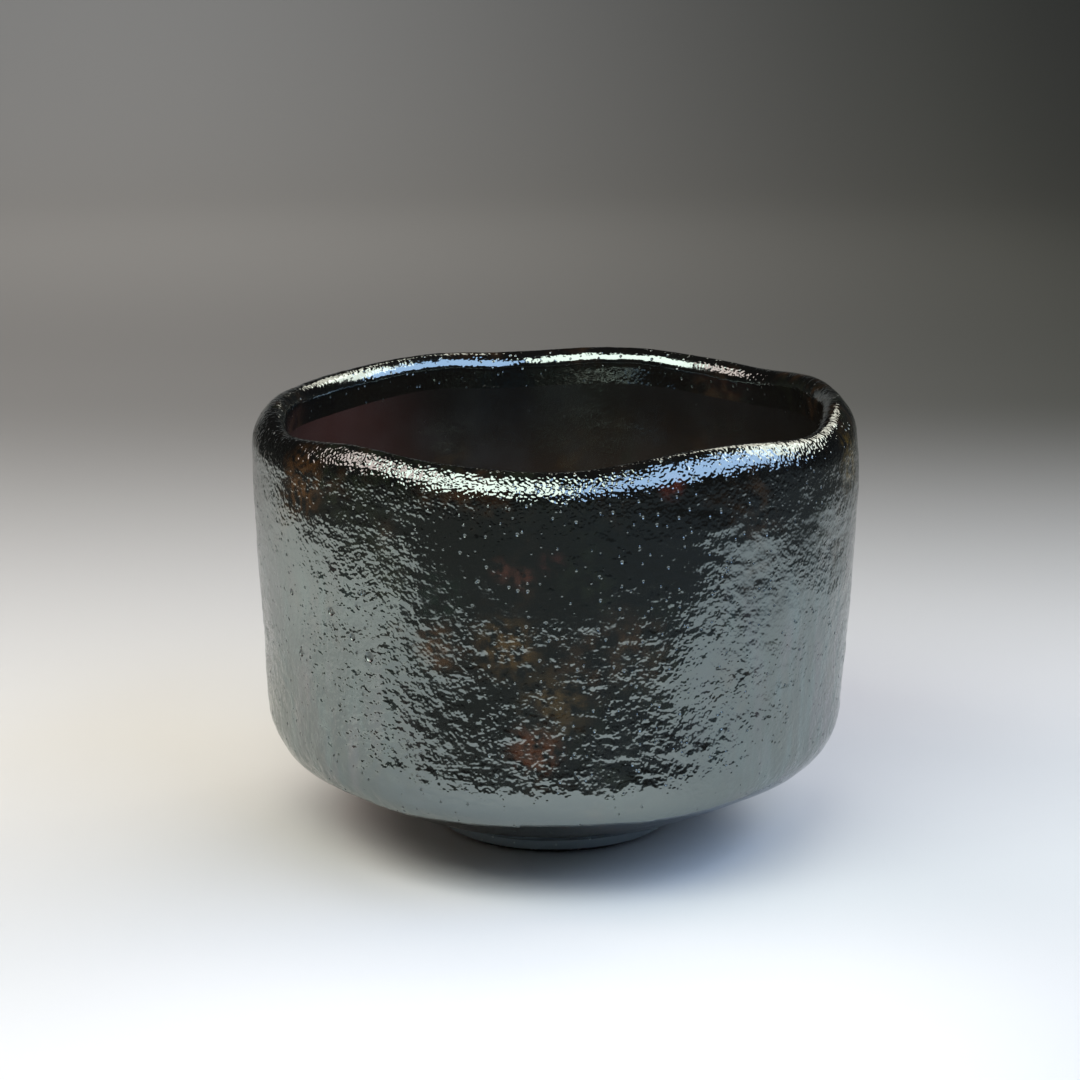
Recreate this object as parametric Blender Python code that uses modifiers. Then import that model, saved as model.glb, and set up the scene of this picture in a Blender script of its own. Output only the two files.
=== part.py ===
"""A low, hand-formed tea bowl with a black glaze, standing on a small ring foot.

Every layer is a turned outline, offset from the finished surface by the thickness of what lies over it.
One function then presses the same hand-formed unevenness into all of them, so that the layers keep their
distances. The origin is on the table at the middle of the foot, and +Z points up.
"""

import math

import bpy

MM = 0.001

# Driving sizes of the finished bowl, in millimetres
ACROSS = 116.0  # widest, a little below the lip
HEIGHT = 83.5  # the lip's mean height above the table
LIP_ACROSS = 106.0  # measured over the crest of the lip
FOOT_ACROSS = 45.0
FOOT_WIDTH = 7.0  # of the ring, from its outer side to the recess
FOOT_HEIGHT = 3.0  # outside, from the table to the underside
RECESS_DEPTH = 4.7
FLOOR_TOP = 10.4  # the tea pool's height above the table
WALL = 6.2  # finished thickness at the belly
GLAZE = 0.8
GAP = 0.3  # clearance between neighbouring layers
COAT = GLAZE + GAP
BARE = 1.0  # height of the foot's unglazed edge
POUR_LINE = 7.0  # how far below the lip the inner coat stops
SLIP = 0.5  # thickness of the slip that holds the foot on

# Derived places
BELLY = ACROSS / 2
LIP = LIP_ACROSS / 2
FOOT = FOOT_ACROSS / 2
RECESS = FOOT - FOOT_WIDTH
FOOT_TOP = FOOT_HEIGHT + 0.4  # of the clay ring, hidden under the glaze
SLIP_LOW = FOOT_TOP + GAP
SLIP_HIGH = SLIP_LOW + SLIP
BOWL_LOW = SLIP_HIGH + GAP

# The lip's rise above its mean height, by angle in degrees from +X. Crests and dips alternate.
LIP_WAVES = [
    (-158, -1.4),
    (-132, 0.5),
    (-95, -1.1),
    (-57, 1.4),
    (-29, -0.4),
    (-6, 1.5),
    (5, 1.2),
    (16, 1.3),
    (43, -0.7),
    (72, 0.5),
    (102, -0.9),
    (119, 0.1),
    (148, -0.9),
    (176, -0.1),
]
WAVE_DEPTH = 34.0  # how far below the lip the waves fade out
CREST_LEAN = 0.5  # a crest curls in, and a dip spreads, by this share of its rise
# The plan is not quite round: number of lobes, their size in millimetres, and the first one's angle
LOBES = [(2, 0.30, 15), (3, 0.22, 100), (5, 0.16, 40)]
LEAN = 0.5  # the mouth sits this much further towards +X than the foot

AROUND = 48  # divisions around the bowl
ARC_STEP = 23  # degrees between the points of a rounded corner


def rounded(corners):
    """Points along straight runs joined by round corners, from (radius, height, corner radius)."""
    points = [corners[0][:2]]
    for before, corner, after in zip(corners, corners[1:], corners[2:]):
        points += arc(before[:2], corner[:2], after[:2], corner[2])
    points.append(corners[-1][:2])
    return points


def arc(before, corner, after, radius):
    """The points of an arc that rounds one corner, tangent to both of its straight runs."""
    to_before = math.atan2(before[1] - corner[1], before[0] - corner[0])
    to_after = math.atan2(after[1] - corner[1], after[0] - corner[0])
    opening = math.remainder(to_after - to_before, math.tau)
    middle = to_before + opening / 2
    reach = radius / math.sin(abs(opening) / 2)
    centre = (corner[0] + reach * math.cos(middle), corner[1] + reach * math.sin(middle))
    sweep = math.pi - abs(opening)
    steps = max(1, math.ceil(math.degrees(sweep) / ARC_STEP))
    turn = math.copysign(sweep, -opening)
    first = middle + math.pi - turn / 2
    angles = [first + turn * step / steps for step in range(steps + 1)]
    return [
        (centre[0] + radius * math.cos(angle), centre[1] + radius * math.sin(angle))
        for angle in angles
    ]


def inset(points, depth):
    """An open outline moved square to itself, to the right of its direction: into the clay."""
    moved = []
    for index, point in enumerate(points):
        before = points[max(index - 1, 0)]
        after = points[min(index + 1, len(points) - 1)]
        into = unit(point[0] - before[0], point[1] - before[1])
        out_of = unit(after[0] - point[0], after[1] - point[1])
        into = into or out_of
        out_of = out_of or into
        bend = 1 + into[0] * out_of[0] + into[1] * out_of[1]
        aside = depth * (into[1] + out_of[1]) / bend if point[0] else 0
        moved.append((point[0] + aside, point[1] - depth * (into[0] + out_of[0]) / bend))
    return moved


def unit(across, up):
    """A direction of length 1, or None for no distance at all."""
    length = math.hypot(across, up)
    return (across / length, up / length) if length else None


def cut(outline, level, above):
    """What is left of an outline above or below a level, with a straight run along the cut."""
    side = 1 if above else -1
    kept = []
    for start, end in zip(outline, outline[1:] + outline[:1]):
        inside = (start[1] - level) * side >= 0
        crosses = inside != ((end[1] - level) * side >= 0)
        if inside:
            kept.append(start)
        if crosses:
            share = (level - start[1]) / (end[1] - start[1])
            kept.append((start[0] + share * (end[0] - start[0]), level))
    return kept


def inside_surface():
    """The finished inside, from the middle of the tea pool up to where the inner coat stops."""
    pool = 0.75 * FOOT
    wall = BELLY - WALL
    return rounded(
        [
            (0, FLOOR_TOP, 0),
            (pool, FLOOR_TOP + 0.4, 30),
            (pool + 5, FLOOR_TOP + 1.8, 9),
            (wall - 1.4, FLOOR_TOP + 8, 18),
            (wall + 0.2, HEIGHT - 17, 60),
            (wall - 0.4, HEIGHT - POUR_LINE, 0),
        ]
    )


def lip_and_outside():
    """The finished surface from the inner coat's edge over the lip and down to the foot's bare edge."""
    return rounded(
        [
            (BELLY - WALL - 0.4, HEIGHT - POUR_LINE, 0),
            (LIP - 2.2, HEIGHT - 0.6, 1.5),
            (LIP + 1.2, HEIGHT + 0.6, 2.6),
            (BELLY - 0.6, HEIGHT - 3.3, 7),
            (BELLY - 0.1, HEIGHT - 13, 90),
            (BELLY - 0.5, HEIGHT - 26, 90),
            (BELLY - 2.9, FOOT_HEIGHT + 14, 13.5),
            (FOOT + 13.5, FOOT_HEIGHT + 5.1, 60),
            (FOOT + 0.4, FOOT_HEIGHT, 0.8),
            (FOOT - 0.1, BARE, 0),
        ]
    )


def recess_surface():
    """The finished recess, from the foot's bare edge up and in to the middle."""
    return rounded(
        [
            (RECESS + 0.2, BARE, 0),
            (RECESS - 0.3, RECESS_DEPTH, 1.4),
            (0, RECESS_DEPTH + 0.2, 0),
        ]
    )


def standing_edge():
    """The bare clay at the bottom of the foot: two small chamfers with the flat face between them."""
    outer = FOOT - COAT - 0.1
    inner = RECESS + COAT + 0.2
    chamfer = 0.5
    return [(outer - chamfer, 0), (inner + chamfer, 0)]


def clay_surface():
    """The whole clay form under its coats, from the tea pool's middle to the recess's middle."""
    covered = inset(inside_surface()[:-1] + lip_and_outside(), COAT)
    return covered + standing_edge() + inset(recess_surface(), COAT)


def coat(surface):
    """A coat's outline: its finished surface, and back along the side that faces the clay."""
    return surface + inset(surface, GLAZE)[::-1]


def lip_rise(angle):
    """The lip's rise at an angle in degrees, smooth from each crest to the next dip."""
    waves = LIP_WAVES + [(LIP_WAVES[0][0] + 360, LIP_WAVES[0][1])]
    turned = (angle - waves[0][0]) % 360 + waves[0][0]
    for (start, low), (end, high) in zip(waves, waves[1:]):
        if turned <= end:
            share = (turned - start) / (end - start)
            return low + (high - low) * (1 - math.cos(math.pi * share)) / 2
    return waves[-1][1]


def hand_formed(point):
    """Where a point of the true turned form, in millimetres, lies on the uneven bowl."""
    across, deep, up = point
    radius = math.hypot(across, deep)
    angle = math.degrees(math.atan2(deep, across))
    raised = min(1, max(0, up / HEIGHT))
    near_lip = min(1, max(0, 1 - (HEIGHT - up) / WAVE_DEPTH))
    fade = near_lip * near_lip * (3 - 2 * near_lip)
    rise = fade * lip_rise(angle)
    bulge = sum(size * math.cos(math.radians(count * (angle - at))) for count, size, at in LOBES)
    wider = 1 + raised * bulge / BELLY
    if radius:
        wider -= CREST_LEAN * rise * fade**3 / radius
    return (across * wider + LEAN * (raised - 0.5), deep * wider, up + rise)


def principled(name, colour, roughness, metallic=0.0):
    """A material with one Principled shader."""
    material = bpy.data.materials.new(name)
    material.use_nodes = True
    shader = material.node_tree.nodes["Principled BSDF"]
    shader.inputs["Base Color"].default_value = (*colour, 1)
    shader.inputs["Roughness"].default_value = roughness
    shader.inputs["Metallic"].default_value = metallic
    material.diffuse_color = (*colour, 1)
    return material


def turned(name, outline, material, collection):
    """A piece turned from its outline about Z, then pressed to the hand-formed shape."""
    on_axis = outline[0][0] == 0
    profile = bpy.data.meshes.new(name + "_profile")
    edges = [(index, index + 1) for index in range(len(outline) - 1)]
    if not on_axis:
        edges.append((len(outline) - 1, 0))
    profile.from_pydata([(across * MM, 0, up * MM) for across, up in outline], edges, [])
    lathe = bpy.data.objects.new(name + "_profile", profile)
    collection.objects.link(lathe)
    screw = lathe.modifiers.new("turn", "SCREW")
    screw.axis = "Z"
    screw.steps = AROUND
    screw.render_steps = AROUND
    screw.use_merge_vertices = True
    screw.merge_threshold = 0.00001
    lathe.update_from_editmode()
    evaluated = lathe.evaluated_get(bpy.context.evaluated_depsgraph_get())
    mesh = bpy.data.meshes.new_from_object(evaluated)
    bpy.data.objects.remove(lathe)
    bpy.data.meshes.remove(profile)
    for vertex in mesh.vertices:
        moved = hand_formed([value / MM for value in vertex.co])
        vertex.co = [value * MM for value in moved]
    mesh.name = name
    mesh.materials.clear()
    mesh.materials.append(material)
    mesh.shade_smooth()
    mesh.set_sharp_from_angle(angle=math.radians(35))
    piece = bpy.data.objects.new(name, mesh)
    collection.objects.link(piece)
    return piece


def make_clay(collection):
    """The clay: the bowl, the ring foot under it and the slip between them."""
    whole = clay_surface()
    bowl_clay = principled("raku_clay", (0.115, 0.085, 0.062), 0.85)
    foot_clay = principled("raku_clay_bare", (0.072, 0.060, 0.052), 0.9)
    slip_clay = principled("slip", (0.16, 0.12, 0.09), 0.8)
    slip_outline = cut(cut(whole, SLIP_LOW, True), SLIP_HIGH, False)
    turned("clay_bowl", cut(whole, BOWL_LOW, True), bowl_clay, collection)
    turned("foot_ring", cut(whole, FOOT_TOP, False), foot_clay, collection)
    turned("foot_slip", slip_outline, slip_clay, collection)


def make_glaze(collection):
    """The black glaze: inside, outside and in the recess of the foot."""
    black = principled("black_glaze", (0.012, 0.011, 0.010), 0.12)
    inner_black = principled("black_glaze_inner", (0.018, 0.013, 0.011), 0.14)
    foot_black = principled("black_glaze_foot", (0.016, 0.016, 0.018), 0.3)
    inside = inside_surface()
    outside = lip_and_outside()
    turned("inner_glaze", coat(inside), inner_black, collection)
    turned("outer_glaze", coat(outside), black, collection)
    turned("recess_glaze", coat(recess_surface()), foot_black, collection)


def main():
    for old in list(bpy.data.objects):
        bpy.data.objects.remove(old)
    collection = bpy.data.collections.new("tea_bowl")
    bpy.context.scene.collection.children.link(collection)
    make_clay(collection)
    make_glaze(collection)


main()
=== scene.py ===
"""A low tea bowl, pinched and scraped by hand, fired under a thick glossy black glaze.

The three coats of glaze are made again here as skins. Each is turned from the solids' outline, pressed to
the same uneven shape, and given the relief of real glaze: scraped hollows, wrinkles and an orange-peel skin.
The finest peel, the bubbles and the pits are bump. The clay, the slip and the foot keep their shape.
Outlines, places and reliefs are in millimetres, and each mesh is made in metres.
"""

import itertools
import math

import bpy
import numpy as np
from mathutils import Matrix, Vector


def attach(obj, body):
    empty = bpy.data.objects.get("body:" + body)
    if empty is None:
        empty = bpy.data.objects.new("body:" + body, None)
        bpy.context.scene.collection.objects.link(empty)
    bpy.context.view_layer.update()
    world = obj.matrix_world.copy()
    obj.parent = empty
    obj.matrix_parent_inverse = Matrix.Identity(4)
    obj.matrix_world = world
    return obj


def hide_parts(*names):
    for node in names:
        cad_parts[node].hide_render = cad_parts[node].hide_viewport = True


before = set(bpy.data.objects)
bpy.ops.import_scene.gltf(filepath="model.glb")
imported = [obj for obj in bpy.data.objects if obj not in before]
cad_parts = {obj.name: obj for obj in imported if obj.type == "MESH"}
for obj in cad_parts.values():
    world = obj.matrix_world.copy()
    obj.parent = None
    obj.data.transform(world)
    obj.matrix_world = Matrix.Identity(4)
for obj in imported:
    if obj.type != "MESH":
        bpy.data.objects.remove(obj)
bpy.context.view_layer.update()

MM = 0.001

# ---------------------------------------------------------------------------------------------------------
# The bowl's sizes, in millimetres

ACROSS = 116.0  # widest, a little below the lip
HEIGHT = 83.5  # the lip's mean height above the table
LIP_ACROSS = 106.0
FOOT_ACROSS = 45.0
FOOT_WIDTH = 7.0
FOOT_HEIGHT = 3.0
RECESS_DEPTH = 4.7
FLOOR_TOP = 10.4
WALL = 6.2
GLAZE = 0.8
BARE = 1.0  # height of the foot's unglazed edge
POUR_LINE = 7.0  # how far below the lip the inner coat stops

BELLY = ACROSS / 2
LIP = LIP_ACROSS / 2
FOOT = FOOT_ACROSS / 2
RECESS = FOOT - FOOT_WIDTH

# The lip's rise above its mean height, by angle in degrees from +X
LIP_WAVES = [
    (-158, -1.4),
    (-132, 0.5),
    (-95, -1.1),
    (-57, 1.4),
    (-29, -0.4),
    (-6, 1.5),
    (5, 1.2),
    (16, 1.3),
    (43, -0.7),
    (72, 0.5),
    (102, -0.9),
    (119, 0.1),
    (148, -0.9),
    (176, -0.1),
]
WAVE_DEPTH = 34.0  # how far down the wall the waves fade out
CREST_LEAN = 0.5  # how far a crest leans in, as a share of its rise
LOBES = [(2, 0.30, 15), (3, 0.22, 100), (5, 0.16, 40)]  # bulges around, by number, size and angle
LEAN = 0.5  # how far the lip lies to the right of the foot

FINE_AROUND = 640  # divisions around the skin that is seen most
FINE_STEP = 0.6  # distance between its rows
PLAIN_AROUND = 320
PLAIN_STEP = 1.0
RECESS_AROUND = 160
BACK_STEP = 3.0  # distance between the rows of a skin's hidden back
ARC_STEP = 3.0  # degrees between the points of a round corner
FRONT_SHARE = 0.93  # of the unwrapped sheet, for the side that is seen


# ---------------------------------------------------------------------------------------------------------
# Outlines

def rounded(corners):
    """Points along straight runs joined by round corners, from (radius, height, corner radius)."""
    points = [corners[0][:2]]
    for before, corner, after in zip(corners, corners[1:], corners[2:]):
        points += arc(before[:2], corner[:2], after[:2], corner[2])
    points.append(corners[-1][:2])
    return points


def arc(before, corner, after, radius):
    """The points of an arc that rounds one corner, tangent to both of its straight runs."""
    to_before = math.atan2(before[1] - corner[1], before[0] - corner[0])
    to_after = math.atan2(after[1] - corner[1], after[0] - corner[0])
    opening = math.remainder(to_after - to_before, math.tau)
    middle = to_before + opening / 2
    reach = radius / math.sin(abs(opening) / 2)
    centre = (corner[0] + reach * math.cos(middle), corner[1] + reach * math.sin(middle))
    sweep = math.pi - abs(opening)
    steps = max(2, math.ceil(math.degrees(sweep) / ARC_STEP))
    turn = math.copysign(sweep, -opening)
    first = middle + math.pi - turn / 2
    angles = [first + turn * step / steps for step in range(steps + 1)]
    return [
        (centre[0] + radius * math.cos(angle), centre[1] + radius * math.sin(angle))
        for angle in angles
    ]


def inside_outline():
    """The finished inside, from the middle of the tea pool up to where the inner coat stops."""
    pool = 0.75 * FOOT
    wall = BELLY - WALL
    return rounded(
        [
            (0, FLOOR_TOP, 0),
            (pool, FLOOR_TOP + 0.4, 30),
            (pool + 5, FLOOR_TOP + 1.8, 9),
            (wall - 1.4, FLOOR_TOP + 8, 18),
            (wall + 0.2, HEIGHT - 17, 60),
            (wall - 0.4, HEIGHT - POUR_LINE, 0),
        ]
    )


def outside_outline():
    """The finished surface from the inner coat's edge over the lip and down to the foot's bare edge."""
    return rounded(
        [
            (BELLY - WALL - 0.4, HEIGHT - POUR_LINE, 0),
            (LIP - 2.2, HEIGHT - 2.2, 3.0),
            (LIP + 0.5, HEIGHT + 1.3, 2.1),
            (BELLY - 0.6, HEIGHT - 3.3, 7),
            (BELLY - 0.1, HEIGHT - 13, 90),
            (BELLY - 0.5, HEIGHT - 26, 90),
            (BELLY - 2.9, FOOT_HEIGHT + 14.8, 12.5),
            (FOOT + 13.5, FOOT_HEIGHT + 5.1, 60),
            (FOOT + 0.4, FOOT_HEIGHT, 0.8),
            (FOOT - 0.1, BARE, 0),
        ]
    )


def recess_outline():
    """The finished recess, from the foot's bare edge up and in to the middle."""
    return rounded(
        [
            (RECESS + 0.2, BARE, 0),
            (RECESS - 0.3, RECESS_DEPTH, 1.4),
            (0, RECESS_DEPTH + 0.2, 0),
        ]
    )


def even_steps(points, step):
    """An outline with its points moved to equal distances along it."""
    points = np.array(points, float)
    along = np.concatenate([[0], np.cumsum(np.hypot(*np.diff(points, axis=0).T))])
    count = max(2, round(along[-1] / step) + 1)
    places = np.linspace(0, along[-1], count)
    return np.stack([np.interp(places, along, points[:, 0]), np.interp(places, along, points[:, 1])], 1)


def inset(points, depth):
    """An outline moved square to itself, to the right of its direction: into the clay."""
    ahead = np.gradient(points, axis=0)
    ahead /= np.hypot(*ahead.T)[:, None]
    moved = points + depth * np.stack([ahead[:, 1], -ahead[:, 0]], 1)
    on_axis = points[:, 0] == 0
    moved[on_axis, 0] = 0
    return moved


# ---------------------------------------------------------------------------------------------------------
# The hand-formed shape and the relief of the glaze

NOISE_CELLS = 4096  # cells along each axis before the noise repeats


def smooth(value, low, high):
    """0 below low, 1 above high, and an even curve between; high may be the lower one."""
    share = np.clip((value - low) / (high - low), 0, 1)
    return share * share * (3 - 2 * share)


def lip_rise(angle):
    """The lip's rise at angles in degrees, smooth from each crest to the next dip."""
    starts = np.array([wave[0] for wave in LIP_WAVES] + [LIP_WAVES[0][0] + 360])
    rises = np.array([wave[1] for wave in LIP_WAVES] + [LIP_WAVES[0][1]])
    turned = (angle - starts[0]) % 360 + starts[0]
    at = np.clip(np.searchsorted(starts, turned, side="right") - 1, 0, len(starts) - 2)
    share = (turned - starts[at]) / (starts[at + 1] - starts[at])
    return rises[at] + (rises[at + 1] - rises[at]) * (1 - np.cos(math.pi * share)) / 2


def hand_formed(points):
    """Where points of the true turned form lie on the uneven bowl."""
    across, deep, up = points.T
    radius = np.hypot(across, deep)
    angle = np.degrees(np.arctan2(deep, across))
    raised = np.clip(up / HEIGHT, 0, 1)
    fade = smooth(HEIGHT - up, WAVE_DEPTH, 0)
    rise = fade * lip_rise(angle)
    bulge = sum(size * np.cos(np.radians(count * (angle - at))) for count, size, at in LOBES)
    wider = 1 + raised * bulge / BELLY
    wider = wider - np.where(radius > 0, CREST_LEAN * rise * fade**3 / np.maximum(radius, 0.01), 0)
    return np.stack([across * wider + LEAN * (raised - 0.5), deep * wider, up + rise], 1)


def lumps(points, size, seed):
    """Smooth seeded noise, about -1 to 1, with lumps about as far apart as size."""
    dice = np.random.default_rng(seed)
    slopes = dice.normal(size=(NOISE_CELLS, 3))
    slopes /= np.linalg.norm(slopes, axis=1)[:, None]
    shuffle = dice.permutation(NOISE_CELLS)
    cells = points / size
    low = np.floor(cells).astype(np.int64)
    part = cells - low
    ease = part**3 * (part * (part * 6 - 15) + 10)
    total = np.zeros(len(points))
    for corner in itertools.product((0, 1), repeat=3):
        key = 0
        for at in ((low + corner) % NOISE_CELLS).T:
            key = shuffle[(key + at) % NOISE_CELLS]
        weight = np.prod(np.where(np.array(corner, bool), ease, 1 - ease), axis=1)
        total += weight * np.einsum("ij,ij->i", slopes[key], part - corner)
    return 1.6 * total


def wall_place(angle, height):
    """A point on the outer wall, from its angle in degrees from +X and its height."""
    outline = even_steps(outside_outline(), 0.5)
    outline = outline[len(outline) // 5:]  # past the top of the lip, where height falls all the way
    radius = np.interp(height, outline[::-1, 1], outline[::-1, 0])
    turn = math.radians(angle)
    return hand_formed(np.array([[radius * math.cos(turn), radius * math.sin(turn), height]]))[0]


def near(points, angle, height, size):
    """1 at a place on the outer wall, fading to 0 at a distance of size."""
    away = np.linalg.norm(points - wall_place(angle, height), axis=1)
    return smooth(away, size, 0)


# Marks of the thumb and the scraper, by angle, height, reach and depth; a depth below 0 is a swelling
HAND_MARKS = [
    (-52, 58, 13, 0.35),
    (-40, 44, 12, 0.30),
    (-62, 38, 10, 0.22),
    (-28, 62, 11, 0.30),
    (-48, 26, 9, 0.18),
    (-120, 70, 12, 0.20),
    (-152, 30, 14, 0.25),
    (20, 50, 16, 0.35),
    (75, 35, 15, 0.30),
    (110, 60, 17, 0.35),
    (150, 45, 14, 0.30),
    (178, 62, 13, 0.25),
]

# Where the scraper tore the clay low on the left, by angle and height
TORN = [(-141, 27), (-127, 23), (-114, 21)]


def peel_strength(points):
    """How strong the wrinkles and the orange peel are, from 0 where the glaze melted smooth to over 1."""
    up = points[:, 2]
    above_hip = smooth(up, 13, 20)
    patchy = 0.9 + 0.5 * lumps(points, 22, 31) + 0.3 * lumps(points, 9, 32)
    run_smooth = np.maximum(near(points, -142, 40, 30), near(points, -30, 30, 26))
    calm = smooth(up, 46, 58) * smooth(up, 80, 72)
    torn = sum(near(points, *place, 12) for place in TORN)
    melted = near(points, -146, 73, 20)
    by_lip = smooth(up, 73, 80)
    strength = (1 - 0.4 * run_smooth) * (0.2 + 0.8 * above_hip) * (1 - 0.3 * calm) * patchy + 1.2 * torn
    return strength * (1 - 0.75 * melted) * (1 - 0.5 * by_lip)


def front_fullness(points):
    """How far the lower front stands out, so that the wall there is upright down to its turn."""
    up = points[:, 2]
    angle = np.degrees(np.arctan2(points[:, 1], points[:, 0]))
    frontal = smooth(np.abs(angle + 92), 61, 19)  # whole within 19 degrees of the front, none past 61
    return 3.05 * frontal * smooth(up, 8, 21) * np.clip((58 - up) / 37, 0, 1) ** 1.8


def outer_relief(points):
    """Height of the glaze's relief on the outside, in millimetres."""
    strength = peel_strength(points)
    scraped = 0.30 * lumps(points, 24, 1) + 0.16 * lumps(points * (1, 1, 0.8), 12, 2)
    marks = sum(depth * near(points, *place, reach) for *place, reach, depth in HAND_MARKS)
    sagged = points * (1, 1, 1.5)
    wrinkles = 0.08 * lumps(sagged, 5.0, 3) + 0.055 * lumps(sagged, 2.7, 4)
    peel = 0.075 * lumps(points, 1.6, 5) + 0.045 * lumps(points, 1.2, 6)
    return scraped - marks + front_fullness(points) + strength * (wrinkles + peel)


def inner_relief(points):
    """Height of the relief inside: rings of the scraper and soft lumps, in millimetres."""
    scraped = 0.28 * lumps(points * (1, 1, 1.6), 21, 11) + 0.14 * lumps(points, 10, 12)
    wrinkles = 0.06 * lumps(points, 4.4, 13)
    return scraped + wrinkles


def whole_relief(points):
    """The outer relief over the lip, turning to the inner one on the inside before the coats meet."""
    radius = np.hypot(points[:, 0], points[:, 1])
    inward = smooth(points[:, 2], HEIGHT, HEIGHT - 5) * (radius < LIP)
    return (1 - inward) * outer_relief(points) + inward * inner_relief(points)


def foot_relief(points):
    """The thin coat's relief in the recess: the clay's grog and the drag of the tool show through it."""
    return 0.05 * lumps(points, 2.0, 21) + 0.03 * lumps(points, 1.0, 22)


# ---------------------------------------------------------------------------------------------------------
# Making the pieces

def grid_normals(grid):
    """Unit normals of a grid of rows x columns that closes around its columns."""
    around = np.roll(grid, -1, 1) - np.roll(grid, 1, 1)
    along = np.gradient(grid, axis=0)
    normals = np.cross(along, around)
    length = np.linalg.norm(normals, axis=2)
    normals /= np.maximum(length, 1e-9)[..., None]
    return normals


def turned_skin(name, outline, around, relief, material):
    """A closed skin: its outline turned about Z, pressed to shape and given its relief, and a plain back."""
    back = inset(even_steps(outline, BACK_STEP), GLAZE)
    section = np.concatenate([outline, back[::-1]])
    rows, front_rows = len(section), len(outline)
    on_axis = section[:, 0] < 1e-6
    turns = np.arange(around) * math.tau / around
    turned = [
        section[:, 0, None] * np.cos(turns),
        section[:, 0, None] * np.sin(turns),
        np.repeat(section[:, 1, None], around, 1),
    ]
    shaped = hand_formed(np.stack(turned, 2).reshape(-1, 3)).reshape(rows, around, 3)
    front = shaped[:front_rows]
    raised = relief(front.reshape(-1, 3)).reshape(front_rows, around, 1)
    settled = np.clip(outline[:, 0] / 3, 0, 1)[:, None, None]  # none on the axis, where the normal is unsure
    shaped[:front_rows] = front + grid_normals(front) * raised * settled

    faces, places = skin_faces(section, front_rows, around, on_axis)
    spots = shaped.reshape(-1, 3)
    row_of = np.repeat(np.arange(rows), around)
    if on_axis.any():
        used = np.unique(np.concatenate([np.array(face) for face in faces]))
        renumber = np.full(rows * around, -1)
        renumber[used] = np.arange(len(used))
        faces = [renumber[face].tolist() for face in faces]
        spots = spots[used]
        row_of = row_of[used]

    mesh = bpy.data.meshes.new(name)
    mesh.from_pydata((spots * MM).tolist(), [], faces)
    layer = mesh.uv_layers.new(name="OFBake")
    layer.data.foreach_set("uv", two_strips(places, [len(face) for face in faces]).ravel())
    mesh.shade_smooth()
    rims = [front_rows - 1, front_rows]
    if not on_axis.any():
        rims += [0, rows - 1]
    mark_edges(mesh, row_of, rims)
    mesh.materials.append(material)
    piece = bpy.data.objects.new(name, mesh)
    bpy.context.scene.collection.objects.link(piece)
    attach(piece, "root")
    return piece


def skin_faces(section, front_rows, around, on_axis):
    """The faces between each row and the next, and each of their corners' places on the unwrapped sheet.

    A row on the axis is one point: the faces there are triangles that meet at its first corner.
    """
    rows = len(section)
    index = np.arange(rows * around).reshape(rows, around)
    right = np.roll(index, -1, 1)
    left_u = np.arange(around) / around
    right_u = left_u + 1 / around
    shares = skin_shares(section, front_rows)
    next_row = list(range(1, rows)) + ([] if on_axis.any() else [0])
    faces = []
    unwrapped = []
    for row, after in enumerate(next_row):
        low, high = shares[row], shares[row + 1]
        if on_axis[row] and on_axis[after]:
            continue
        if on_axis[row]:
            corners = [np.full(around, index[row, 0]), index[after], right[after]]
            places = [(left_u, low), (left_u, high), (right_u, high)]
        elif on_axis[after]:
            corners = [index[row], np.full(around, index[after, 0]), right[row]]
            places = [(left_u, low), (left_u, high), (right_u, low)]
        else:
            corners = [index[row], index[after], right[after], right[row]]
            places = [(left_u, low), (left_u, high), (right_u, high), (right_u, low)]
        faces += np.stack(corners, 1).tolist()
        spread = [np.stack([u, np.full(around, v)], 1) for u, v in places]
        unwrapped.append(np.stack(spread, 1).reshape(-1, 2))
    return faces, np.concatenate(unwrapped)


def skin_shares(section, front_rows):
    """How far up the unwrapped sheet each row lies: the front takes most of it, the back the rest."""
    front = np.linspace(0, FRONT_SHARE, front_rows)
    back = np.linspace(FRONT_SHARE + 0.01, 1, len(section) - front_rows + 1)
    return np.concatenate([front, back])


def two_strips(places, sides):
    """The unwrapped skin cut in two halves around, laid one above the other so that it fills a square.

    All the corners of a face go with its first, and sides holds each face's number of corners.
    """
    starts = np.concatenate([[0], np.cumsum(sides)[:-1]])
    upper = np.repeat(places[starts, 0] >= 0.5, sides)
    return np.stack(
        [2 * np.where(upper, places[:, 0] - 0.5, places[:, 0]), (places[:, 1] + upper) / 2], 1
    )


def mark_edges(mesh, row_of, rims):
    """Marks the edges along the rims between a skin's front and its back as sharp."""
    ends = np.empty(len(mesh.edges) * 2, np.int32)
    mesh.edges.foreach_get("vertices", ends)
    first, second = row_of[ends.reshape(-1, 2)].T
    sharp = (first == second) & np.isin(first, rims)
    mesh.attributes.new("sharp_edge", "BOOLEAN", "EDGE").data.foreach_set("value", sharp)


# ---------------------------------------------------------------------------------------------------------
# Materials

EASED = {"interpolation_type": "SMOOTHSTEP"}
TIMES = {"operation": "MULTIPLY"}
TIMES_PLUS = {"operation": "MULTIPLY_ADD"}
COLOURS = {"data_type": "RGBA"}
GLAZE_IOR = 2.6  # well over a lead glass's 1.7 to 1.9, for the metal-bright sheen that iron gives this glaze


def colour(hex_value):
    """A colour from its sRGB hex value, as linear red, green, blue and 1."""
    channels = [int(hex_value[at:at + 2], 16) / 255 for at in (1, 3, 5)]
    return [c / 12.92 if c <= 0.04045 else ((c + 0.055) / 1.055) ** 2.4 for c in channels] + [1]


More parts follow.
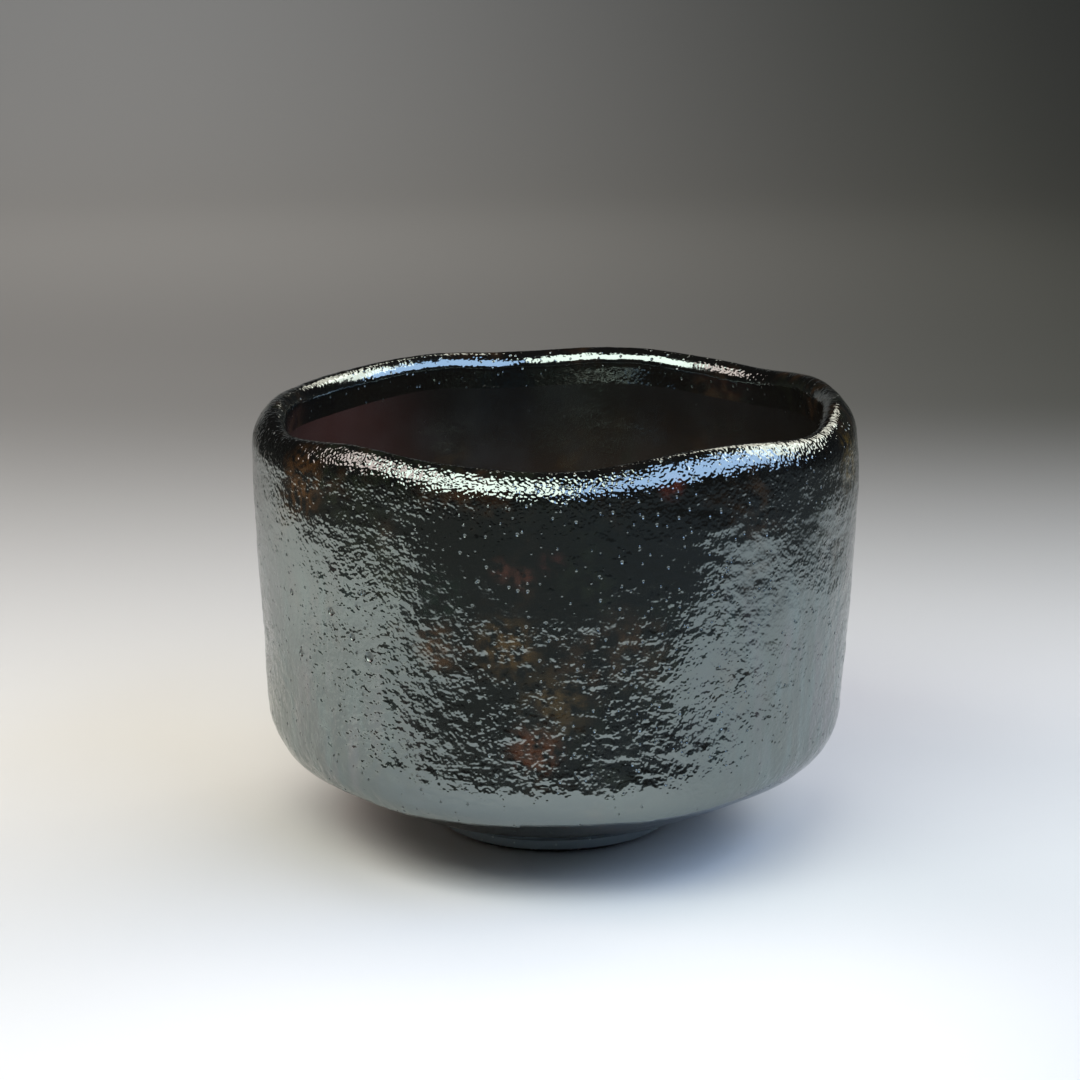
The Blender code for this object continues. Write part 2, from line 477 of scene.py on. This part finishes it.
def add(nodes, kind, settings=None, **links):
    """Adds a node with its settings, and joins or sets its inputs.

    An input is named with _ for a space, or is in0, in1 and so on by its number.
    """
    node = nodes.new(kind)
    for name, value in (settings or {}).items():
        setattr(node, name, value)
    for name, value in links.items():
        key = int(name[2:]) if name[:2] == "in" and name[2:].isdigit() else name.replace("_", " ")
        if isinstance(value, bpy.types.NodeSocket):
            nodes.id_data.links.new(value, node.inputs[key])
        else:
            node.inputs[key].default_value = value
    return node


def new_material(name):
    """A material, its nodes, its shader, and the place on the piece in metres."""
    material = bpy.data.materials.new(name)
    material.use_nodes = True
    nodes = material.node_tree.nodes
    place = add(nodes, "ShaderNodeTexCoord").outputs["Object"]
    return material, nodes, nodes["Principled BSDF"], place


def join_shader(nodes, shader, **values):
    """Joins patterns to the shader's inputs, named with _ for a space."""
    for name, value in values.items():
        nodes.id_data.links.new(value, shader.inputs[name.replace("_", " ")])


def layered(nodes, under, layers):
    """A colour with others laid over it in turn, each by its share."""
    for share, over in layers:
        under = add(nodes, "ShaderNodeMix", COLOURS, in0=share, in6=under, in7=colour(over)).outputs[2]
    return under


def piled(nodes, start, layers):
    """A number with patterns added to it in turn, each times its size."""
    for pattern, size in layers:
        start = add(nodes, "ShaderNodeMath", TIMES_PLUS, in0=pattern, in1=size, in2=start).outputs[0]
    return start


def product(nodes, first, *others):
    """Patterns multiplied together: each shows only where the others do."""
    for other in others:
        first = add(nodes, "ShaderNodeMath", TIMES, in0=first, in1=other).outputs[0]
    return first


def mottle(nodes, place, size, detail, low, high):
    """Lumps about size millimetres apart: 0 to 1 between two levels of a noise."""
    noise = add(nodes, "ShaderNodeTexNoise", Vector=place, Scale=1 / (size * MM), Detail=detail)
    level = add(nodes, "ShaderNodeMapRange", EASED, Value=noise.outputs["Fac"], From_Min=low, From_Max=high)
    return level.outputs["Result"]


def dotted(nodes, place, apart, full, gone):
    """Round dots about apart millimetres from each other, in shares of that distance."""
    cells = add(nodes, "ShaderNodeTexVoronoi", Vector=place, Scale=1 / (apart * MM))
    dots = add(nodes, "ShaderNodeMapRange", EASED, Value=cells.outputs["Distance"],
               From_Min=full, From_Max=gone, To_Min=1.0, To_Max=0.0)
    return dots.outputs["Result"]


def rising(nodes, place, low, high):
    """0 below one height in millimetres, 1 above another."""
    up = add(nodes, "ShaderNodeSeparateXYZ", Vector=place).outputs["Z"]
    share = add(nodes, "ShaderNodeMapRange", EASED, Value=up, From_Min=low * MM, From_Max=high * MM)
    return share.outputs["Result"]


def spot(nodes, place, middle, full, gone, most=1.0, least=0.0, settings=EASED):
    """A round spot: most up to full millimetres from its middle, then falling to least at gone."""
    away = add(nodes, "ShaderNodeVectorMath", {"operation": "DISTANCE"},
               in0=place, in1=[value * MM for value in middle])
    inside = add(nodes, "ShaderNodeMapRange", settings, Value=away.outputs["Value"],
                 From_Min=full * MM, From_Max=gone * MM, To_Min=most, To_Max=least)
    return inside.outputs["Result"]


# Places where iron has broken through the black, by angle, height, reach, strength and colour
BLOOMS = [
    (-144, 76, 9, 0.9, "#5c3f22"),
    (-150, 70, 6, 0.5, "#4c3a20"),
    (-19, 76, 8, 0.9, "#66501f"),
    (-12, 68, 9, 0.6, "#4c4024"),
    (-69, 79, 3.5, 0.8, "#5a2a20"),
    (-100, 66, 3.2, 0.6, "#5f3a2e"),
    (-96, 64.5, 3.0, 0.6, "#5f3a2e"),
    (-91, 67.5, 3.2, 0.5, "#54302a"),
    (-99, 51, 8, 1.0, "#584326"),
    (-112, 50, 6, 0.8, "#5c3f26"),
    (-90, 41, 9, 0.9, "#4c3c24"),
    (-94, 32, 7, 1.0, "#5a3826"),
    (-75, 47, 9, 0.5, "#40382a"),
    (-122, 62, 8, 0.5, "#2e3020"),
    (-111, 60, 7, 0.4, "#1d3024"),
    (-40, 30, 9, 0.3, "#3a2f22"),
    (30, 70, 9, 0.7, "#5a4020"),
    (70, 55, 8, 0.7, "#5c3622"),
    (100, 72, 7, 0.7, "#4c3020"),
    (120, 42, 10, 0.6, "#46361f"),
    (155, 60, 8, 0.7, "#5a3a22"),
    (-178, 34, 9, 0.5, "#40321e"),
]

# Pits where a bubble burst, by angle, height and size across
PITS = [
    (-136.0, 53.2, 1.0),
    (-148.8, 54.2, 0.8),
    (-130.4, 49.4, 0.9),
    (-126.4, 46.4, 1.3),
    (-146.4, 42.9, 0.9),
    (-127.5, 58.1, 0.7),
    (-134.4, 35.6, 0.8),
    (-131.2, 34.3, 0.8),
    (-103.3, 29.3, 1.2),
    (-86.8, 36.9, 1.1),
    (25.0, 55.0, 1.2),
    (62.0, 40.0, 1.0),
    (95.0, 50.0, 1.2),
    (128.0, 33.0, 1.0),
    (160.0, 48.0, 1.1),
]


def iron_tones(nodes, place, body, warm):
    """The glass's near-black, with iron in faint rusty patches and olive ones."""
    rusty = product(nodes, mottle(nodes, place, 16, 4, 0.5, 0.72), mottle(nodes, place, 3.2, 3, 0.4, 0.65))
    olive = product(nodes, mottle(nodes, place, 22, 3, 0.52, 0.7), mottle(nodes, place, 2.2, 2, 0.4, 0.62))
    olive = product(nodes, olive, 0.6)
    return layered(nodes, colour(body), [(rusty, warm), (olive, "#24281c")])


def wall_tones(nodes, place, paint):
    """Blue-green and plum runs at the sides, partly painted reflection; a greyer coat by the foot, lightened
    as painted light; and the iron blooms.
    """
    # The runs at the sides are glaze colour and also stand in for the uneven reflection there: partly
    # painted reflection.
    across = add(nodes, "ShaderNodeSeparateXYZ", Vector=place).outputs["X"]
    across = add(nodes, "ShaderNodeMath", {"operation": "ABSOLUTE"}, in0=across).outputs[0]
    sides = add(nodes, "ShaderNodeMapRange", Value=across, From_Min=22 * MM, From_Max=42 * MM)
    sides = product(nodes, sides.outputs["Result"], rising(nodes, place, 66, 54))
    drawn_down = add(nodes, "ShaderNodeVectorMath", TIMES, in0=place, in1=(1, 1, 0.22)).outputs[0]
    blue_green = product(nodes, sides, mottle(nodes, drawn_down, 3.0, 3, 0.42, 0.7))
    plum = product(nodes, sides, mottle(nodes, drawn_down, 4.4, 3, 0.5, 0.75))
    # Partly a drier coat, partly painted light: the coat below about 3 mm is lightened to grey-blue to stand
    # in for the light the foot catches from the floor.
    foot_coat_and_painted_light = rising(nodes, place, 3.4, 2.6)
    paint = layered(nodes, paint, [(blue_green, "#34403e"), (plum, "#44353a"), (foot_coat_and_painted_light, "#8f9aa2")])
    ragged = mottle(nodes, place, 1.7, 4, 0.38, 0.66)
    for angle, up, reach, strength, bloom in BLOOMS:
        share = spot(nodes, place, wall_place(angle, up), 0.15 * reach, reach, strength)
        paint = layered(nodes, paint, [(product(nodes, share, ragged), bloom)])
    return paint


def fine_peel(nodes, place, amount):
    """The orange peel too fine for the mesh, in millimetres, and its finer noise by itself.

    It is weak under the hip, calmer high on the wall and stronger again by the lip.
    """
    coarse = add(nodes, "ShaderNodeTexNoise", Vector=place, Scale=1 / (1.15 * MM), Detail=1.0, Roughness=0.4)
    finer = add(nodes, "ShaderNodeTexNoise", Vector=place, Scale=1 / (0.55 * MM), Detail=0.0).outputs["Fac"]
    peel = product(nodes, coarse.outputs["Fac"], 0.165 * amount)
    peel = piled(nodes, peel, [(finer, 0.045 * amount)])
    crowded = piled(nodes, 0.3, [
        (rising(nodes, place, 13, 21), 0.7),
        (rising(nodes, place, 44, 58), -0.3),
        (rising(nodes, place, 73, 80), 0.15),
    ])
    uneven = mottle(nodes, place, 7, 2, 0.3, 0.7)
    uneven = add(nodes, "ShaderNodeMapRange", Value=uneven, To_Min=0.55, To_Max=1.5).outputs["Result"]
    return product(nodes, peel, product(nodes, crowded, uneven)), finer


def lip_speckle(nodes, place, peel, finer):
    """The fine peel with a sandy speckle over the lip, most in front, and melted smooth inside the lip."""
    level = add(nodes, "ShaderNodeVectorMath", TIMES, in0=place, in1=(1, 1, 0)).outputs[0]
    radius = add(nodes, "ShaderNodeVectorMath", {"operation": "LENGTH"}, in0=level).outputs["Value"]
    outward = add(nodes, "ShaderNodeMapRange", Value=radius,
                  From_Min=51.4 * MM, From_Max=52.6 * MM, To_Min=0.3, To_Max=1.0).outputs["Result"]
    speckle = spot(nodes, place, (-14, -52, 83), 18, 40, 0.13, 0.05, settings=None)
    speckle = product(nodes, speckle, rising(nodes, place, 73, 78))
    return product(nodes, piled(nodes, peel, [(finer, speckle)]), outward)


def burst_pits(nodes, place, height, holes):
    """Pits with a bead of glass in each, cut into the height and added to the holes."""
    for angle, up, across in PITS:
        middle = wall_place(angle, up)
        dip = spot(nodes, place, middle, 0.35 * across, 0.9 * across)
        bead = spot(nodes, place, middle, 0, 0.42 * across)
        height = piled(nodes, height, [(dip, -0.45), (bead, 0.3)])
        ring = add(nodes, "ShaderNodeMath", {"operation": "SUBTRACT"}, in0=dip, in1=bead).outputs[0]
        holes = add(nodes, "ShaderNodeMath", {"operation": "MAXIMUM"}, in0=holes, in1=ring).outputs[0]
    return height, holes


def finish_glaze(nodes, shader, place, paint, height, holes, smoothest, roughest, in_holes):
    """Joins a glaze to its shader: a heavy lead-bright glass, duller in its holes."""
    bump = add(nodes, "ShaderNodeBump", Height=height, Distance=MM, Strength=1.0).outputs["Normal"]
    gloss = mottle(nodes, place, 9, 2, 0.3, 0.7)
    rough = add(nodes, "ShaderNodeMapRange", Value=gloss, To_Min=smoothest, To_Max=roughest)
    rough = piled(nodes, rough.outputs["Result"], [(holes, in_holes)])
    join_shader(nodes, shader, Base_Color=paint, Roughness=rough, Normal=bump)
    shader.inputs["IOR"].default_value = GLAZE_IOR
    shader.inputs["Specular Tint"].default_value = colour("#f0fffb")


def black_raku_glaze():
    """Black raku glaze, melted to a thick glass: near-black and mirror-glossy, with bubbles and pits."""
    material, nodes, shader, place = new_material("black_raku_glaze")
    paint = wall_tones(nodes, place, iron_tones(nodes, place, "#100f0e", "#3a2a1c"))
    height = lip_speckle(nodes, place, *fine_peel(nodes, place, 1.0))
    bubbles = dotted(nodes, place, 1.9, 0.0, 0.16)
    holes = dotted(nodes, place, 2.3, 0.03, 0.17)
    height = piled(nodes, height, [(bubbles, 0.11), (holes, -0.13)])
    height, holes = burst_pits(nodes, place, height, holes)
    finish_glaze(nodes, shader, place, paint, height, holes, 0.05, 0.13, 0.5)
    return material


def thin_black_glaze(name, body, warm, amount):
    """The same glaze where it lies thinner and less glossy: browner low down, and rusty high on the left."""
    material, nodes, shader, place = new_material(name)
    high_up = rising(nodes, place, 52, 76)
    rusty = spot(nodes, place, (-42, 22, 66), 6, 34, 0.8)
    paint = iron_tones(nodes, place, body, warm)
    paint = layered(nodes, paint, [(high_up, "#141110"), (rusty, "#4e2f29")])
    height = fine_peel(nodes, place, amount)[0]
    holes = dotted(nodes, place, 2.3, 0.03, 0.17)
    height = piled(nodes, height, [(holes, -0.004)])
    finish_glaze(nodes, shader, place, paint, height, holes, 0.16, 0.26, 0.04)
    return material


def bare_clay(name, body, dark, light, roughness):
    """Fired raku clay, coarse and open: matt, speckled with grog, a little dusty where it wears."""
    material, nodes, shader, place = new_material(name)
    patchy = mottle(nodes, place, 2.5, 4, 0.42, 0.6)
    specks = product(nodes, mottle(nodes, place, 0.7, 1, 0.6, 0.68), 0.7)
    paint = layered(nodes, colour(body), [(patchy, dark), (specks, light)])
    grain = add(nodes, "ShaderNodeTexNoise", Vector=place, Scale=1 / (0.5 * MM), Detail=4)
    bump = add(nodes, "ShaderNodeBump", Height=grain.outputs["Fac"], Distance=0.12 * MM).outputs["Normal"]
    join_shader(nodes, shader, Base_Color=paint, Normal=bump)
    shader.inputs["Roughness"].default_value = roughness
    return material


# ---------------------------------------------------------------------------------------------------------
# The studio

def paper_with_painted_light_and_shade():
    """Matt background paper with painted light and shade: pale in the middle and graduated to dark grey away
    from it, where the room is unlit.

    The glaze mirrors it, so its edges give the dark and pale parts of the bowl.
    """
    material, nodes, shader, place = new_material("paper_with_painted_light_and_shade")
    parts = add(nodes, "ShaderNodeSeparateXYZ", Vector=place).outputs

    def fade(along, full, gone):
        """1 up to a place in metres along X or Y, then fading to 0."""
        share = add(nodes, "ShaderNodeMapRange", EASED, Value=parts[along],
                    From_Min=full, From_Max=gone, To_Min=1.0, To_Max=0.0)
        return share.outputs["Result"]

    # Painted light and shade at the back: grey paper, paler at the left and darker at the right, with the
    # pale paper fading into it away from the bowl as the lamps fall off.
    closer = fade("Y", 0.45, 0.75)
    rear_left = layered(nodes, colour("#a9a8a3"), [(closer, "#8a8985")])
    rear_right = layered(nodes, colour("#50514b"), [(closer, "#444540")])
    to_left = fade("X", -0.23, 0.23)
    rear = add(nodes, "ShaderNodeMix", COLOURS, in0=to_left, in6=rear_right, in7=rear_left).outputs[2]

    # Painted light: a pool of light on the paper just in front of the bowl, and the pale paper lighter
    # towards the left and palest at the far left, as the lamps fall off.
    painted_light_pool = spot(nodes, place, (-10, -120, 0), 20, 125)
    pale = layered(nodes, colour("#d4d5d3"), [
        (fade("X", -0.12, 0.13), "#e1e1dd"),
        (painted_light_pool, "#f4f3f0"),
        (fade("X", -0.20, -0.14), "#f6f6f0"),
    ])
    paint = add(nodes, "ShaderNodeMix", COLOURS, in0=fade("Y", 0.0, 0.40), in6=rear, in7=pale).outputs[2]

    # Around the pale part, painted shade: dark paper in front, at the right, and at the left past a slanted
    # edge, standing in for the unlit room, so the glaze mirrors it as its dark parts
    slanted = add(nodes, "ShaderNodeVectorMath", {"operation": "DOT_PRODUCT"}, in0=place, in1=(1, 0.25, 0))
    past_left = add(nodes, "ShaderNodeMapRange", EASED, Value=slanted.outputs["Value"],
                    From_Min=-0.286, From_Max=-0.254).outputs["Result"]
    middle = product(nodes, fade("Y", -0.131, -0.156), past_left, fade("X", 0.16, 0.31))
    paint = add(nodes, "ShaderNodeMix", COLOURS, in0=middle, in6=colour("#383936"), in7=paint).outputs[2]
    # Painted shade: the paper's wall darker from 200 mm up, so that the glaze mirrors it dark.
    paint = layered(nodes, paint, [(rising(nodes, place, 200, 450), "#1a1b19")])

    fibre = add(nodes, "ShaderNodeTexNoise", Vector=place, Scale=1 / (0.4 * MM), Detail=3)
    bump = add(nodes, "ShaderNodeBump", Height=fibre.outputs["Fac"], Distance=0.02 * MM).outputs["Normal"]
    join_shader(nodes, shader, Base_Color=paint, Normal=bump)
    shader.inputs["Roughness"].default_value = 0.85
    shader.inputs["Specular IOR Level"].default_value = 0.2
    return material


def paper_cove():
    """A round sheet of paper that lies flat under the bowl and curves up to a wall all around."""
    flat, bend, top = 0.80, 0.40, 1.0
    steps, around = 16, 96
    rows = [(flat * step / steps, 0.0) for step in range(steps + 1)]
    for step in range(1, steps + 1):
        turn = math.pi / 2 * step / steps
        rows.append((flat + bend * math.sin(turn), bend * (1 - math.cos(turn))))
    rows.append((flat + bend, top))
    spots = []
    faces = []
    for radius, up in rows:
        for step in range(around):
            turn = math.tau * step / around
            spots.append((radius * math.cos(turn), radius * math.sin(turn), up))
    for row in range(len(rows) - 1):
        for step in range(around):
            after = (step + 1) % around
            faces.append((row * around + step, row * around + after,
                          (row + 1) * around + after, (row + 1) * around + step))
    mesh = bpy.data.meshes.new("paper_cove")
    mesh.from_pydata(spots, [], faces)
    mesh.shade_smooth()
    mesh.materials.append(paper_with_painted_light_and_shade())
    cove = bpy.data.objects.new("paper_cove", mesh)
    bpy.context.scene.collection.objects.link(cove)


def softbox(name, bearing, rise, distance, width, height, strength, tone, mirrored=True):
    """A soft lamp aimed at the bowl's middle; its distance, width and height are in metres.

    Its bearing is from the front (-Y) towards +X and its rise above the table, both in degrees, and its
    strength is in watts for each square metre of it. One that isn't mirrored only lights.
    """
    lamp = bpy.data.lights.new(name, "AREA")
    lamp.shape = "RECTANGLE"
    lamp.size = width
    lamp.size_y = height
    lamp.energy = strength * width * height
    lamp.color = colour(tone)[:3]
    holder = bpy.data.objects.new(name, lamp)
    turn, lift = math.radians(bearing), math.radians(rise)
    towards = Vector((math.sin(turn) * math.cos(lift), -math.cos(turn) * math.cos(lift), math.sin(lift)))
    middle = Vector((0, 0, 0.06))
    holder.location = middle + distance * towards
    holder.rotation_euler = towards.to_track_quat("Z", "Y").to_euler()
    holder.visible_camera = False
    holder.visible_glossy = mirrored
    bpy.context.scene.collection.objects.link(holder)


def studio():
    """The paper, the lamps and a dim room; the lamps that only fill in are not mirrored in the glaze."""
    paper_cove()
    softbox("front_softbox", -31, 48, 0.85, 0.82, 0.42, 16.5, "#fbfff6")
    softbox("cool_softbox", 57, 38, 0.85, 1.12, 0.48, 11.8, "#b8d3ff")
    softbox("edge_softbox", 116, 40, 0.85, 0.50, 0.32, 12.5, "#fdfbf2")
    softbox("pink_softbox", -90, 42, 0.85, 0.36, 0.32, 10.0, "#ffe4e0")
    softbox("warm_softbox", 150, 38, 0.85, 0.50, 0.30, 8.0, "#fff4e6")
    softbox("rear_softbox", 180, 60, 0.95, 0.90, 0.50, 6.5, "#fff3ee", mirrored=False)
    softbox("left_fill", -85, 24, 0.85, 0.60, 0.30, 3.0, "#ffe0d8", mirrored=False)
    softbox("right_fill", 88, 22, 0.85, 0.60, 0.30, 1.5, "#eef0ff", mirrored=False)
    world = bpy.data.worlds.new("studio_air")
    world.use_nodes = True
    air = world.node_tree.nodes["Background"].inputs
    air["Color"].default_value = colour("#20211f")
    air["Strength"].default_value = 0.5
    bpy.context.scene.world = world
    bpy.context.scene.view_settings.view_transform = "Standard"


def camera(place, looking_down, focal_length):
    """A camera at a place in metres, looking towards +Y and down by some degrees."""
    lens = bpy.data.cameras.new("camera")
    lens.sensor_width = 36
    lens.lens = focal_length
    lens.clip_start = 0.05
    lens.clip_end = 10
    holder = bpy.data.objects.new("camera", lens)
    holder.location = place
    holder.rotation_euler = (math.radians(90 - looking_down), 0, 0)
    bpy.context.scene.collection.objects.link(holder)
    bpy.context.scene.camera = holder


# ---------------------------------------------------------------------------------------------------------

def make_bowl():
    """The skins in place of the glaze coats, and the clays on the pieces that keep their shape."""
    inner_material = thin_black_glaze("black_raku_glaze_inside", "#30261f", "#40301f", 0.3)
    recess_material = thin_black_glaze("thin_black_glaze_of_the_foot", "#121212", "#2a211a", 0.6)

    outside = even_steps(outside_outline(), FINE_STEP)
    skin = turned_skin("outer_glaze_skin", outside, FINE_AROUND, whole_relief, black_raku_glaze())
    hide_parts("outer_glaze")

    inside = even_steps(inside_outline(), PLAIN_STEP)
    skin = turned_skin("inner_glaze_skin", inside, PLAIN_AROUND, whole_relief, inner_material)
    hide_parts("inner_glaze")

    recess = even_steps(recess_outline(), PLAIN_STEP)
    skin = turned_skin("recess_glaze_skin", recess, RECESS_AROUND, foot_relief, recess_material)
    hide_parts("recess_glaze")

    clays = {
        "clay_bowl": bare_clay("raku_clay", "#5f5142", "#3d332a", "#8f7f6a", 0.85),
        "foot_ring": bare_clay("bare_raku_clay_of_the_foot", "#4c453f", "#2c2824", "#85786a", 0.9),
        "foot_slip": bare_clay("fired_slip", "#70604f", "#5a4c3e", "#93836f", 0.8),
    }
    for node, clay in clays.items():
        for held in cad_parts[node].material_slots:
            held.material = clay


make_bowl()
studio()
camera((-0.0030, -0.650, 0.2241), looking_down=14.47, focal_length=115.57)
